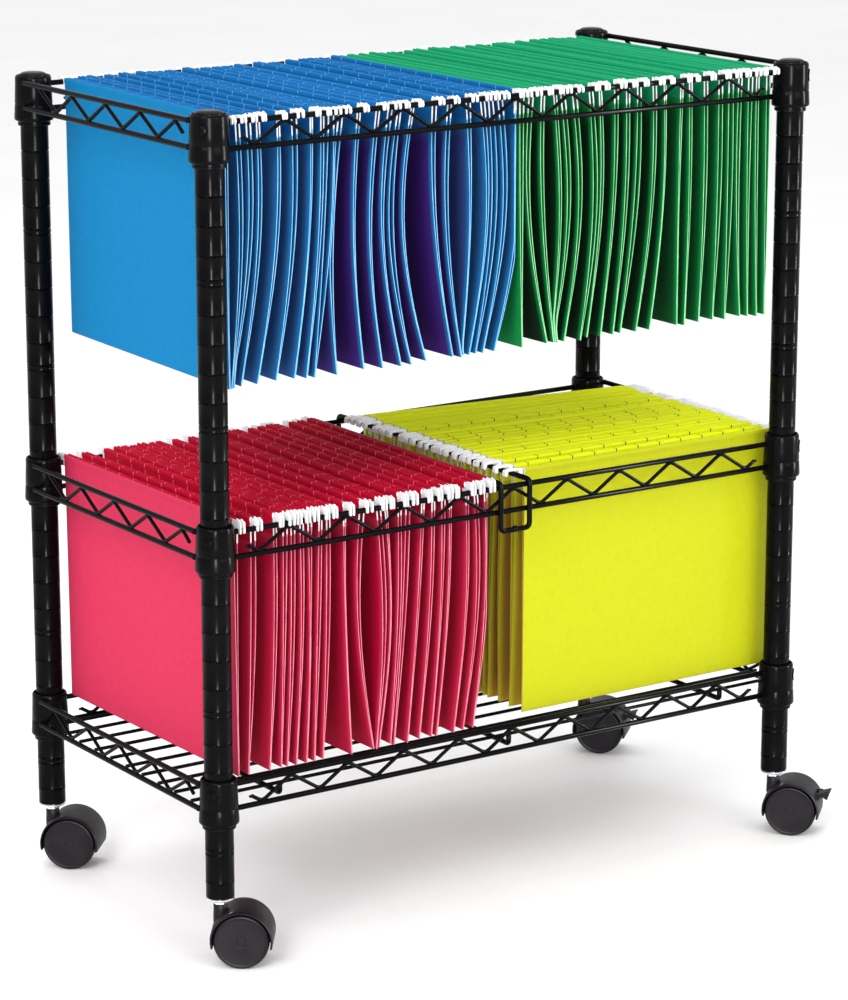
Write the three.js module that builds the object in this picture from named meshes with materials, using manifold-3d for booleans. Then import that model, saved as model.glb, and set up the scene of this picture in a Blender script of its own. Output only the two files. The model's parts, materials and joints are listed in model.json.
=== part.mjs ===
// Two-tier rolling rack for hanging files: four grooved tube posts on twin-wheel casters, three
// welded wire frames clipped to the posts, a wire shelf grid, a sliding divider loop and four
// packs of hanging folders. Millimetres, +Z up, +X to the right, front of the rack towards -Y.
// The origin is under the centre of the bounding box, on the floor.
import * as THREE from "three";
import { mergeVertices } from "three/addons/utils/BufferGeometryUtils.js";
import Module from "manifold-3d";

const wasm = await Module();
wasm.setup();

// ---- Driving dimensions ----
const GAP = 0.3; // running clearance between neighbouring solids
const SEGMENTS = 16; // sides of a turned part
const WIRE_SIDES = 6; // sides of a wire

const POST_SPACING_X = 632;
const POST_SPACING_Y = 311;
const POST = { radius: 12.7, wall: 1.2, bottom: 61.5, top: 754 };

const GROOVE_PITCH = 25.4; // the frames clip to the posts in 1 inch steps
const TOP_RIM = 755; // top edge of the collars of the top frame
const LEVELS = {
  top: TOP_RIM,
  middle: TOP_RIM - 14 * GROOVE_PITCH,
  bottom: TOP_RIM - 23 * GROOVE_PITCH,
};

const COLLAR = { height: 41, outerTop: 16.5, outerBottom: 18, boreTop: 14.5, boreBottom: 15.3 };
const SLEEVE_LIP = 4.5; // the plastic sleeve shows this much under its collar
const SLEEVE_BORE = POST.radius + GAP;

const RAIL_RADIUS = 2.5; // wires of the trusses, the ribs and the divider
const ZIGZAG_RADIUS = 1.8;
const ZIGZAG_HALF_PITCH = 30.15;
const SIDE_ZIGZAG_SHIFT = -4.5; // the side zigzags and the shelf wires sit this far towards the front
const RAIL_SPACING = 22.7; // top wire to lower wire
const FRONT_RAIL_DROP = 8.5; // rim to top wire, front and back
const SIDE_RAIL_DROP = 5.5; // rim to top wire, left and right
const SIDE_RAIL_OFFSET = 14.5; // the side wires are welded to the outer flank of the collars
const SIDE_RAIL_SHORT = 10.5; // and end on it this far before the post centre

const GRID_WIRE_RADIUS = 1.7;
const GRID_WIRES = 10;
const GRID_WIRE_SPACING = 29;
const GRID_RIB_SPACING = 250;

const DIVIDER = { left: -17.5, right: 14.5, drop: 45, topBend: 2.5, lowBend: 6 };

const CAP = { radius: 12.7, top: 758, flat: 6, plug: 12 };

const WHEEL = { radius: 25, sides: 24, inner: 3, outer: 20.5, chamfer: 1.5 };
const HOOD = { outer: 28, inner: 26, halfWidth: 21, web: 2.5, endDrop: 6.3, neckRadius: 6.3, neckTop: 54.5 };
const CASTER_TRAIL = 19.5;
const AXLE_RADIUS = 2.5;
const STEM = { flangeRadius: 12.9, flangeHeight: 2, nutRadius: 7, pinRadius: 3, pinLength: 7, insert: 22 };
const LEVER = { pivotRadius: 30.6, pivotAngle: 28, knuckle: 2.2, halfWidth: 6, pin: 1, lug: 2 };

// Each corner post with the side signs and the way its caster has turned, in degrees.
const CORNERS = {
  front_left: { x: -1, y: -1, turn: -36, brake: false },
  front_right: { x: 1, y: -1, turn: -47.5, brake: true },
  back_left: { x: -1, y: 1, turn: -42, brake: false },
  back_right: { x: 1, y: 1, turn: -47.5, brake: true },
};

// Folder packs. A pack hangs between two rails that run along its stack direction.
// "rise" is how far the hooks stand above the rail they rest on.
const FOLDER = { body: 298, hang: 236, ear: 6 };
const PACKS = {
  blue_folders: { level: "top", from: -298, to: 6, rise: 4.5 },
  green_folders: { level: "top", from: 7, to: 298, rise: 4.5 },
  red_folders: { level: "middle", from: -298, to: -23.5, rise: 8.2 },
};
const YELLOW_PACK = { halfDepth: 136, rise: 3.4 };

// ---- Materials ----
const material = (color, roughness, metalness) =>
  new THREE.MeshStandardMaterial({ color, roughness, metalness });
const blackSteel = material(0x151517, 0.42, 0.35);
const blackPlastic = material(0x1c1a1e, 0.55, 0);
const platedSteel = material(0xc9ccd0, 0.25, 0.9);
const blueCard = material(0x1c8fcf, 0.75, 0);
const greenCard = material(0x12a35c, 0.75, 0);
const redCard = material(0xd81b4a, 0.75, 0);
const yellowCard = material(0xeeea1e, 0.75, 0);

// ---- Geometry helpers ----
const half = (value) => value / 2;
const degrees = THREE.MathUtils.degToRad;

// A closed three.js geometry as a solid.
function solidOf(geometry) {
  const bare = geometry.clone();
  bare.deleteAttribute("normal");
  bare.deleteAttribute("uv");
  const merged = mergeVertices(bare, 1e-4);
  return new wasm.Manifold(
    new wasm.Mesh({
      numProp: 3,
      vertProperties: merged.attributes.position.array,
      triVerts: new Uint32Array(merged.index.array),
    }),
  );
}

// A solid as a flat-shaded geometry.
function geometryOf(solid) {
  const mesh = solid.getMesh();
  const indexed = new THREE.BufferGeometry();
  indexed.setAttribute("position", new THREE.BufferAttribute(mesh.vertProperties, 3));
  indexed.setIndex(new THREE.BufferAttribute(mesh.triVerts, 1));
  const geometry = indexed.toNonIndexed();
  geometry.computeVertexNormals();
  return geometry;
}

const join = (solids) => solids.reduce((sum, solid) => sum.add(solid));

// A solid turned round +Z, from a closed profile of [radius, z] corners, listed counterclockwise.
function turned(corners, sides = SEGMENTS) {
  const profile = [...corners, corners[0]].map(([radius, z]) => new THREE.Vector2(radius, z));
  const geometry = new THREE.LatheGeometry(profile, sides);
  geometry.rotateX(Math.PI / 2);
  geometry.rotateZ(Math.PI / sides);
  return geometry;
}

// A straight round bar between two points.
function bar(from, to, radius, sides = WIRE_SIDES) {
  const start = new THREE.Vector3(...from);
  const end = new THREE.Vector3(...to);
  const direction = end.clone().sub(start);
  const geometry = new THREE.CylinderGeometry(radius, radius, direction.length(), sides);
  const turn = new THREE.Quaternion().setFromUnitVectors(
    new THREE.Vector3(0, 1, 0),
    direction.clone().normalize(),
  );
  geometry.applyQuaternion(turn);
  const middle = start.add(end).multiplyScalar(0.5);
  geometry.translate(middle.x, middle.y, middle.z);
  return geometry;
}

// A path through corner points, with one section at each corner across the mean of its two legs.
class CornerPath extends THREE.Curve {
  constructor(points) {
    super();
    this.points = points.map((point) => new THREE.Vector3(...point));
  }
  getPoint(t) {
    const last = this.points.length - 1;
    const place = Math.min(Math.max(t, 0), 1) * last;
    const index = Math.min(Math.floor(place), last - 1);
    return this.points[index].clone().lerp(this.points[index + 1], place - index);
  }
  getPointAt(u) {
    return this.getPoint(u);
  }
  getTangentAt(u) {
    const step = 0.25 / (this.points.length - 1);
    return this.getPoint(u + step).sub(this.getPoint(u - step)).normalize();
  }
}

// A wire bent through corner points.
function bentWire(points, radius) {
  const section = new THREE.Shape();
  for (let side = 0; side < WIRE_SIDES; side++) {
    const angle = (2 * Math.PI * side) / WIRE_SIDES;
    const corner = [radius * Math.cos(angle), radius * Math.sin(angle)];
    if (side === 0) section.moveTo(...corner);
    else section.lineTo(...corner);
  }
  section.closePath();
  return new THREE.ExtrudeGeometry(section, {
    steps: points.length - 1,
    curveSegments: 1,
    extrudePath: new CornerPath(points),
  });
}

// A flat outline extruded equally to both sides of its plane and stood up in the X-Z plane.
function plate(outline, halfThickness) {
  const geometry = new THREE.ExtrudeGeometry(outline, {
    depth: 2 * halfThickness,
    bevelEnabled: false,
    curveSegments: 12,
  });
  geometry.translate(0, 0, -halfThickness);
  geometry.rotateX(Math.PI / 2);
  return geometry;
}

function box(low, high) {
  const size = high.map((value, axis) => value - low[axis]);
  const geometry = new THREE.BoxGeometry(...size);
  geometry.translate(...low.map((value, axis) => value + half(size[axis])));
  return geometry;
}

function named(name, solid, surface) {
  const mesh = new THREE.Mesh(geometryOf(solid), surface);
  mesh.name = name;
  return mesh;
}

// ---- Posts, caps and sleeves ----
const cornerX = (corner) => corner.x * half(POST_SPACING_X);
const cornerY = (corner) => corner.y * half(POST_SPACING_Y);

function postSolid() {
  const bore = POST.radius - POST.wall;
  return solidOf(
    turned([
      [bore, POST.bottom],
      [POST.radius, POST.bottom],
      [POST.radius, POST.top],
      [bore, POST.top],
    ]),
  );
}

// Domed plug with a small flat crown.
function capSolid() {
  const seat = POST.top + GAP;
  const plugRadius = POST.radius - POST.wall - GAP;
  return solidOf(
    turned([
      [0, POST.top - CAP.plug],
      [plugRadius, POST.top - CAP.plug],
      [plugRadius, seat],
      [CAP.radius, seat],
      [CAP.radius, seat + 1.2],
      [CAP.radius - 2.5, CAP.top - 0.8],
      [CAP.flat, CAP.top],
      [0, CAP.top],
    ]),
  );
}

// Tapered two-part sleeve between a post and its collar, closed up as one ring.
function sleeveSolid(rim) {
  const bottom = rim - COLLAR.height;
  return solidOf(
    turned([
      [SLEEVE_BORE, bottom - SLEEVE_LIP],
      [COLLAR.boreBottom - GAP, bottom - SLEEVE_LIP],
      [COLLAR.boreTop - GAP, rim - 1.5],
      [SLEEVE_BORE, rim - 1.5],
    ]),
  );
}

// ---- Frames ----
function collarBody(rim) {
  const bottom = rim - COLLAR.height;
  return solidOf(
    turned([
      [0, bottom],
      [COLLAR.outerBottom, bottom],
      [COLLAR.outerTop, rim - 8],
      [COLLAR.outerTop, rim],
      [0, rim],
    ]),
  );
}

function collarBore(rim) {
  const bottom = rim - COLLAR.height;
  return solidOf(
    turned([
      [0, bottom - 1],
      [COLLAR.boreBottom, bottom - 1],
      [COLLAR.boreBottom, bottom],
      [COLLAR.boreTop, rim],
      [COLLAR.boreTop, rim + 1],
      [0, rim + 1],
    ]),
  );
}

// Zigzag corners along a truss: `count` half pitches, low at the ends when `lowEnds` is true.
function zigzag(count, lowEnds, middle) {
  const reach = half(RAIL_SPACING) - RAIL_RADIUS - 0.55 * ZIGZAG_RADIUS;
  const corners = [];
  for (let index = 0; index <= count; index++) {
    const along = (index - half(count)) * ZIGZAG_HALF_PITCH;
    const low = (index % 2 === 0) === lowEnds;
    corners.push([along, middle + (low ? -reach : reach)]);
  }
  return corners;
}

// Truss between two front or two back collars, standing in the plane of the posts.
function longTruss(rim, y) {
  const topWire = rim - FRONT_RAIL_DROP;
  const lowerWire = topWire - RAIL_SPACING;
  const end = half(POST_SPACING_X) - COLLAR.outerBottom - GAP;
  const web = zigzag(18, true, half(topWire + lowerWire));
  const stub = [11, 5.7];
  const [firstX, firstZ] = web[0];
  const path = [
    [firstX - stub[0], y, firstZ + stub[1]],
    ...web.map(([x, z]) => [x, y, z]),
    [-firstX + stub[0], y, firstZ + stub[1]],
  ];
  return join([
    solidOf(bar([-end, y, topWire], [end, y, topWire], RAIL_RADIUS)),
    solidOf(bar([-end, y, lowerWire], [end, y, lowerWire], RAIL_RADIUS)),
    solidOf(bentWire(path, ZIGZAG_RADIUS)),
  ]);
}

// Left or right frame: a truss welded past the flanks of its front and back collar.
function sideFrame(rim, side) {
  const x = side * (half(POST_SPACING_X) + SIDE_RAIL_OFFSET);
  const topWire = rim - SIDE_RAIL_DROP;
  const lowerWire = topWire - RAIL_SPACING;
  const end = half(POST_SPACING_Y) - SIDE_RAIL_SHORT;
  const web = zigzag(8, false, half(topWire + lowerWire));
  const [firstY, firstZ] = web[0];
  const corners = [[firstY - 12, firstZ - 7], ...web];
  const path = corners.map(([y, z]) => [x, y + SIDE_ZIGZAG_SHIFT, z]);
  const place = [side * half(POST_SPACING_X), half(POST_SPACING_Y)];
  const collars = [-1, 1].map((sign) => collarBody(rim).translate([place[0], sign * place[1], 0]));
  const bores = [-1, 1].map((sign) => collarBore(rim).translate([place[0], sign * place[1], 0]));
  const welded = join([
    ...collars,
    solidOf(bar([x, -end, topWire], [x, end, topWire], RAIL_RADIUS)),
    solidOf(bar([x, -end, lowerWire], [x, end, lowerWire], RAIL_RADIUS)),
    solidOf(bentWire(path, ZIGZAG_RADIUS)),
  ]);
  return welded.subtract(join(bores));
}

// Wire floor of the bottom frame: long wires welded across three ribs with upturned ends.
function shelfGrid() {
  const sideLowerWire = LEVELS.bottom - SIDE_RAIL_DROP - RAIL_SPACING;
  const wireZ = sideLowerWire + RAIL_RADIUS + GAP + GRID_WIRE_RADIUS;
  const ribZ = wireZ - GRID_WIRE_RADIUS - RAIL_RADIUS + 0.5;
  const reach = half(POST_SPACING_X) + SIDE_RAIL_OFFSET + 1.5;
  const ribEnd = half(POST_SPACING_Y) - 2 * RAIL_RADIUS - GAP;
  const wires = [];
  for (let index = 0; index < GRID_WIRES; index++) {
    const y = (index - half(GRID_WIRES - 1)) * GRID_WIRE_SPACING + SIDE_ZIGZAG_SHIFT;
    wires.push(solidOf(bar([-reach, y, wireZ], [reach, y, wireZ], GRID_WIRE_RADIUS)));
  }
  const ribs = [-1, 0, 1].map((index) => {
    const x = index * GRID_RIB_SPACING;
    const path = [
      [x, -ribEnd, ribZ + 9],
      [x, -ribEnd, ribZ + 3],
      [x, -ribEnd + 3, ribZ],
      [x, ribEnd - 3, ribZ],
      [x, ribEnd, ribZ + 3],
      [x, ribEnd, ribZ + 9],
    ];
    return solidOf(bentWire(path, RAIL_RADIUS));
  });
  return join([...wires, ...ribs]);
}

// Closed wire loop: two bars resting on the middle rails, bent down outside them at each end.
function dividerLoop() {
  const rail = LEVELS.middle - FRONT_RAIL_DROP;
  const top = rail + 2 * RAIL_RADIUS + GAP;
  const reach = half(POST_SPACING_Y) + 2 * RAIL_RADIUS + GAP;
  const low = top - DIVIDER.drop;
  const { topBend, lowBend } = DIVIDER;
  const middle = half(DIVIDER.left + DIVIDER.right);
  const loopHalf = (x, side, overlap) => [
    [middle + overlap, -reach, low],
    [x - side * lowBend, -reach, low],
    [x, -reach, low + lowBend],
    [x, -reach, top - topBend],
    [x, -reach + topBend, top],
    [x, reach - topBend, top],
    [x, reach, top - topBend],
    [x, reach, low + lowBend],
    [x - side * lowBend, reach, low],
    [middle + overlap, reach, low],
  ];
  const weld = 1; // the two halves run into each other by this much
  return join([
    solidOf(bentWire(loopHalf(DIVIDER.left, -1, weld), RAIL_RADIUS)),
    solidOf(bentWire(loopHalf(DIVIDER.right, 1, -weld), RAIL_RADIUS)),
  ]);
}

// ---- Folder packs ----
const crossRail = (level) => LEVELS[level] - FRONT_RAIL_DROP + RAIL_RADIUS;

// Pack whose folders cross from the front rail to the back rail.
function crossPack({ level, from, to, rise }) {
  const rest = crossRail(level) + GAP;
  const top = rest + rise;
  const body = half(FOLDER.body);
  const ear = half(POST_SPACING_Y) + FOLDER.ear;
  return join([
    solidOf(box([from, -body, rest - FOLDER.hang], [to, body, top])),
    solidOf(box([from, -ear, rest], [to, ear, top])),
  ]);
}

// Pack that hangs between the divider and the right-hand rail, turned a quarter to the others.
function yellowPack() {
  const rest = crossRail("middle") + 2 * RAIL_RADIUS + 2 * GAP;
  const sideRail = half(POST_SPACING_X) + SIDE_RAIL_OFFSET;
  const middle = half(DIVIDER.right + sideRail);
  const body = half(FOLDER.body);
  const depth = YELLOW_PACK.halfDepth;
  const top = rest + YELLOW_PACK.rise;
  return join([
    solidOf(box([middle - body, -depth, rest - FOLDER.hang], [middle + body, depth, top])),
    solidOf(box([DIVIDER.right - FOLDER.ear, -depth, rest], [sideRail + FOLDER.ear, depth, top])),
  ]);
}

// ---- Casters, in a frame with the swivel axis on Z, the trail along +X and the axle along Y ----
const hubHeight = WHEEL.radius;

function stemSolid() {
  const flangeTop = POST.bottom - GAP;
  const nutTop = flangeTop - STEM.flangeHeight;
  const nutBottom = HOOD.neckTop + GAP;
  const insertRadius = POST.radius - POST.wall - GAP;
  const insert = turned([
    [0, nutTop - 1],
    [STEM.nutRadius - 1, nutTop - 1],
    [STEM.flangeRadius, nutTop],
    [STEM.flangeRadius, flangeTop],
    [insertRadius, flangeTop],
    [insertRadius, flangeTop + STEM.insert],
    [0, flangeTop + STEM.insert],
  ]);
  return join([
    solidOf(insert),
    solidOf(bar([0, 0, nutBottom], [0, 0, nutTop], STEM.nutRadius, 6)),
    solidOf(bar([0, 0, HOOD.neckTop - STEM.pinLength + GAP], [0, 0, nutTop], STEM.pinRadius, 12)),
  ]);
}

function hoodSolid(withLugs) {
  const endAngle = Math.asin(HOOD.endDrop / HOOD.outer);
  const outline = new THREE.Shape();
  outline.absarc(CASTER_TRAIL, hubHeight, HOOD.outer, -endAngle, Math.PI + endAngle, false);
  outline.closePath();
  const cover = solidOf(plate(outline, HOOD.halfWidth));
  const neck = solidOf(bar([0, 0, hubHeight + 12], [0, 0, HOOD.neckTop], HOOD.neckRadius, SEGMENTS));
  const wheelRoom = [-1, 1].map((side) =>
    solidOf(
      bar(
        [CASTER_TRAIL, side * HOOD.web, hubHeight],
        [CASTER_TRAIL, side * (HOOD.halfWidth + 2), hubHeight],
        HOOD.inner,
        40,
      ),
    ),
  );
  const pinBottom = HOOD.neckTop - STEM.pinLength;
  const pinHole = bar([0, 0, pinBottom], [0, 0, HOOD.neckTop + 2], STEM.pinRadius + GAP, 12);
  const axleHole = axleBar(HOOD.web + 1, AXLE_RADIUS + GAP);
  let body = cover.add(neck).subtract(join(wheelRoom));
  body = body.subtract(solidOf(pinHole)).subtract(solidOf(axleHole));
  if (!withLugs) return body;
  return body.add(leverLugs());
}

function axleBar(halfLength, radius) {
  return bar(
    [CASTER_TRAIL, -halfLength, hubHeight],
    [CASTER_TRAIL, halfLength, hubHeight],
    radius,
    12,
  );
}

// Place on the caster's side plane at a distance and an angle from the wheel axis.
function polar(radius, angle) {
  return [
    CASTER_TRAIL + radius * Math.cos(degrees(angle)),
    hubHeight + radius * Math.sin(degrees(angle)),
  ];
}

// Two small ears on the hood, with holes for the pins of the brake lever.
function leverLugs() {
  const { pivotRadius, pivotAngle, knuckle, halfWidth, pin, lug } = LEVER;
  const [pivotX, pivotZ] = polar(pivotRadius, pivotAngle);
  const [rootX, rootZ] = polar(HOOD.outer - 1, pivotAngle);
  const near = halfWidth + GAP;
  const ears = [-1, 1].map((side) => {
    const head = bar([pivotX, side * near, pivotZ], [pivotX, side * (near + lug), pivotZ], knuckle + 0.4, 10);
    const foot = bar([rootX, side * near, rootZ], [rootX, side * (near + lug), rootZ], knuckle + 1.2, 10);
    const hole = bar([pivotX, side * (near - 1), pivotZ], [pivotX, side * (near + lug + 1), pivotZ], pin + GAP, 8);
    return solidOf(head).add(solidOf(foot)).subtract(solidOf(hole));
  });
  const wheelRoom = bar(
    [CASTER_TRAIL, -HOOD.halfWidth, hubHeight],
    [CASTER_TRAIL, HOOD.halfWidth, hubHeight],
    HOOD.inner + 0.5,
    40,
  );
  return join(ears).subtract(solidOf(wheelRoom));
}

// One of the two discs of a caster: a blind bore towards the web, a plain face outside.
function wheelSolid(side) {
  const { radius, sides, inner, outer, chamfer } = WHEEL;
  const bore = AXLE_RADIUS + GAP;
  const rim = radius / Math.cos(Math.PI / sides); // the flats of the tread touch the floor
  const profile = [
    [bore, inner],
    [rim, inner],
    [rim, outer - chamfer],
    [rim - chamfer, outer],
    [0, outer],
    [0, outer - 2.5],
    [bore, outer - 2.5],
  ];
  const geometry = turned(profile, sides);
  geometry.rotateX(side > 0 ? -Math.PI / 2 : Math.PI / 2);
  geometry.translate(CASTER_TRAIL, 0, hubHeight);
  return solidOf(geometry);
}

// Foot pedal of the brake: a knuckle with two stub pins and a blade that flares outwards.
function leverSolid() {
  const { pivotRadius, pivotAngle, knuckle, halfWidth, pin, lug } = LEVER;
  const [pivotX, pivotZ] = polar(pivotRadius, pivotAngle);
  const blade = new THREE.Shape();
  blade.moveTo(pivotX, pivotZ - knuckle + 0.3);
  blade.lineTo(pivotX + 7.5, pivotZ - 4.6);
  blade.lineTo(pivotX + 8.6, pivotZ - 1);
  blade.lineTo(pivotX + 10.6, pivotZ + 4.4);
  blade.lineTo(pivotX, pivotZ + knuckle - 0.2);
  blade.closePath();
  const knuckleBar = bar([pivotX, -halfWidth, pivotZ], [pivotX, halfWidth, pivotZ], knuckle, 10);
  const pinReach = halfWidth + GAP + lug - 0.2;
  const pins = bar([pivotX, -pinReach, pivotZ], [pivotX, pinReach, pivotZ], pin, 8);
  return join([solidOf(plate(blade, halfWidth)), solidOf(knuckleBar), solidOf(pins)]);
}

// ---- Assembly ----
const rack = new THREE.Group();

for (const [corner, place] of Object.entries(CORNERS)) {
  const column = new THREE.Group();
  column.position.set(cornerX(place), cornerY(place), 0);
  column.add(named(`post_${corner}`, postSolid(), blackSteel));
  column.add(named(`post_cap_${corner}`, capSolid(), blackPlastic));
  column.add(named(`caster_stem_${corner}`, stemSolid(), platedSteel));
  for (const [level, rim] of Object.entries(LEVELS)) {
    column.add(named(`sleeve_${level}_${corner}`, sleeveSolid(rim), blackPlastic));
  }
  const caster = new THREE.Group();
  caster.rotation.z = degrees(place.turn);
  caster.add(named(`caster_hood_${corner}`, hoodSolid(place.brake), blackPlastic));
  caster.add(named(`caster_axle_${corner}`, solidOf(axleBar(WHEEL.outer - 3, AXLE_RADIUS)), platedSteel));
  caster.add(named(`wheel_near_${corner}`, wheelSolid(-1), blackPlastic));
  caster.add(named(`wheel_far_${corner}`, wheelSolid(1), blackPlastic));
  if (place.brake) caster.add(named(`brake_lever_${corner}`, leverSolid(), blackPlastic));
  column.add(caster);
  rack.add(column);
}

for (const [level, rim] of Object.entries(LEVELS)) {
  rack.add(named(`front_truss_${level}`, longTruss(rim, -half(POST_SPACING_Y)), blackSteel));
  rack.add(named(`back_truss_${level}`, longTruss(rim, half(POST_SPACING_Y)), blackSteel));
  rack.add(named(`left_frame_${level}`, sideFrame(rim, -1), blackSteel));
  rack.add(named(`right_frame_${level}`, sideFrame(rim, 1), blackSteel));
}

rack.add(named("shelf_grid", shelfGrid(), blackSteel));
rack.add(named("divider", dividerLoop(), blackSteel));

const packCards = { blue_folders: blueCard, green_folders: greenCard, red_folders: redCard };
for (const [name, pack] of Object.entries(PACKS)) rack.add(named(name, crossPack(pack), packCards[name]));
rack.add(named("yellow_folders", yellowPack(), yellowCard));

// The swivelled casters make the rack lopsided, so the origin goes under the middle of its box.
const extent = new THREE.Box3().setFromObject(rack);
const middle = extent.getCenter(new THREE.Vector3());
rack.position.set(-middle.x, -middle.y, 0);

const fileRack = new THREE.Group();
fileRack.add(rack);

export default fileRack;
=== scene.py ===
import json
import math

import bpy
import numpy as np
from mathutils import Matrix, Vector


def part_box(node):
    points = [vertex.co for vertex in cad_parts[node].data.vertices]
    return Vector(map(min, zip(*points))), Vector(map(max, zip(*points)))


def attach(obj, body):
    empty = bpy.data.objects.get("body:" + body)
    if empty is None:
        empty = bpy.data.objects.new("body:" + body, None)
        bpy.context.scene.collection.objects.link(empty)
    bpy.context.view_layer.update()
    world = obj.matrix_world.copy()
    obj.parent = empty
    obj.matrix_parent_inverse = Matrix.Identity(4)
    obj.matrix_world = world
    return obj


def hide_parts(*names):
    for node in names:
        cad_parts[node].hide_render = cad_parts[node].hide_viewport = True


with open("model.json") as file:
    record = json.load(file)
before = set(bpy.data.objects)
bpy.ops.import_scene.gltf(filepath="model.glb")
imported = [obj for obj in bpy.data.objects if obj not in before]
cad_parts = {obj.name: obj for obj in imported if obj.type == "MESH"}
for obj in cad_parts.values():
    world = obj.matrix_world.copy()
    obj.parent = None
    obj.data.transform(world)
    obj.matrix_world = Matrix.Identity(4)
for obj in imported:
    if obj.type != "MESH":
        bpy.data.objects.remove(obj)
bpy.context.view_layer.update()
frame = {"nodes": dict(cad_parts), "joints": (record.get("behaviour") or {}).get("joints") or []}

MM = 0.001
LEVELS = ("top", "middle", "bottom")
CORNERS = ("front_left", "front_right", "back_left", "back_right")

# ---------------------------------------------------------------- places read from the frame


def middle_of(node):
    low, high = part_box(node)
    return (low + high) / 2


POSTS = {corner: middle_of(f"post_{corner}") for corner in CORNERS}
POST_CENTRE = sum((Vector((p.x, p.y, 0)) for p in POSTS.values()), Vector()) / 4
POST_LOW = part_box("post_front_left")[0].z
POST_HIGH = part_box("post_front_left")[1].z
RIM = {level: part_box(f"left_frame_{level}")[1].z for level in LEVELS}
JOINTS = {joint["name"]: joint for joint in frame["joints"]}

CAD_GAP = 0.3 * MM  # between CAD solids that touch on the real rack
POST_RADIUS = 12.7 * MM
GROOVE_PITCH = 25.4 * MM
SECOND_RING = 5 * MM  # the upper ring of a double one
RIM_TO_GROOVE = 7.3 * MM  # a groove ring lies this far above the top collars' rims
COLLAR_HEIGHT = 41 * MM
COLLAR_SEAM_DROP = 26 * MM
RAIL_RADIUS = 2.5 * MM
ZIGZAG_RADIUS = 1.75 * MM
ZIGZAG_HALF_PITCH = 30.15 * MM
RAIL_SPACING = 22.7 * MM
WEB_REACH = RAIL_SPACING / 2 - RAIL_RADIUS - 0.45 * ZIGZAG_RADIUS
FRONT_RAIL_DROP = 8.5 * MM
SIDE_RAIL_DROP = 5.5 * MM
SIDE_RAIL_OFFSET = 14.5 * MM
SIDE_RAIL_SHORT = 10.5 * MM
SIDE_ZIGZAG_SHIFT = -4.5 * MM
COLLAR_BOSS_RADIUS = 6.2 * MM
GRID_WIRES = 10
GRID_WIRE_RADIUS = 1.7 * MM
GRID_WIRE_SPACING = 29 * MM
GRID_RIB_SPACING = 250 * MM
GRID_RIB_UPTURN = 8 * MM

CASTER_TRAIL = 19.5 * MM
WHEEL_RADIUS = 25 * MM
WHEEL_INNER_FACE = 3 * MM
WHEEL_OUTER_FACE = 20.5 * MM
HOOD_OUTER = 28 * MM
HOOD_INNER = 26 * MM
HOOD_HALF_WIDTH = 21 * MM
HOOD_END = math.radians(13)  # the hood reaches this far below the axle at both ends
LEVER_REACH = 30.6 * MM  # from the wheels' axle to the lever's pin
LEVER_ANGLE = math.radians(28)
LEVER_HALF_WIDTH = 6 * MM

# ---------------------------------------------------------------- mesh making


class Shape:
    """Vertices and faces gathered for one mesh, each face with a material number."""

    def __init__(self):
        self.verts = []
        self.faces = []
        self.slots = []

    def add(self, verts, faces, slot=0):
        base = len(self.verts)
        self.verts.extend(tuple(v) for v in verts)
        self.faces.extend(tuple(base + i for i in face) for face in faces)
        if isinstance(slot, int):
            slot = [slot] * len(faces)
        self.slots.extend(slot)

    def build(self, name, materials, sharp=32):
        mesh = bpy.data.meshes.new(name)
        mesh.from_pydata(self.verts, [], self.faces)
        for material in materials:
            mesh.materials.append(material)
        mesh.polygons.foreach_set("material_index", self.slots)
        mesh.polygons.foreach_set("use_smooth", [True] * len(self.faces))
        mesh.set_sharp_from_angle(angle=math.radians(sharp))
        mesh.validate()
        mesh.update()
        piece = bpy.data.objects.new(name, mesh)
        bpy.context.scene.collection.objects.link(piece)
        return piece


def finish_piece(piece, body, node):
    """Puts a finished piece on its body and hides the CAD node it stands for."""
    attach(piece, body)
    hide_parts(node)


def grid_faces(rows, columns, wrap_rows=False, wrap_columns=False):
    """Quads over a grid of rows x columns of vertices, numbered row by row."""
    faces = []
    for row in range(rows if wrap_rows else rows - 1):
        above = (row + 1) % rows
        for column in range(columns if wrap_columns else columns - 1):
            beside = (column + 1) % columns
            faces.append(
                (
                    row * columns + column,
                    row * columns + beside,
                    above * columns + beside,
                    above * columns + column,
                )
            )
    return faces


def barrel_faces(rings, sides, closed):
    """Faces round a stack of rings: joined end to end if closed, else with two flat ends."""
    faces = grid_faces(rings, sides, wrap_rows=closed, wrap_columns=True)
    if not closed:
        last = (rings - 1) * sides
        faces.append(tuple(reversed(range(sides))))
        faces.append(tuple(range(last, last + sides)))
    return faces


def flipped(faces):
    return [tuple(reversed(face)) for face in faces]


def turned(profile, sides=48, closed=False):
    """A solid turned round Z from (radius, z) corners that run upwards outside.
    Open profiles get flat end faces; a closed one is a ring."""
    verts = []
    for radius, z in profile:
        for side in range(sides):
            angle = 2 * math.pi * side / sides
            verts.append(Vector((radius * math.cos(angle), radius * math.sin(angle), z)))
    return verts, barrel_faces(len(profile), sides, closed)


def corners_in_mm(*parts):
    """(radius, height) corners in metres, from parts of (base height, rows of mm outwards and up
    from that base)."""
    return [(radius * MM, base + rise * MM) for base, rows in parts for radius, rise in rows]


def moved(verts, matrix):
    return [matrix @ Vector(v) for v in verts]


def shifted(verts, offset):
    offset = Vector(offset)
    return [Vector(v) + offset for v in verts]


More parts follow.
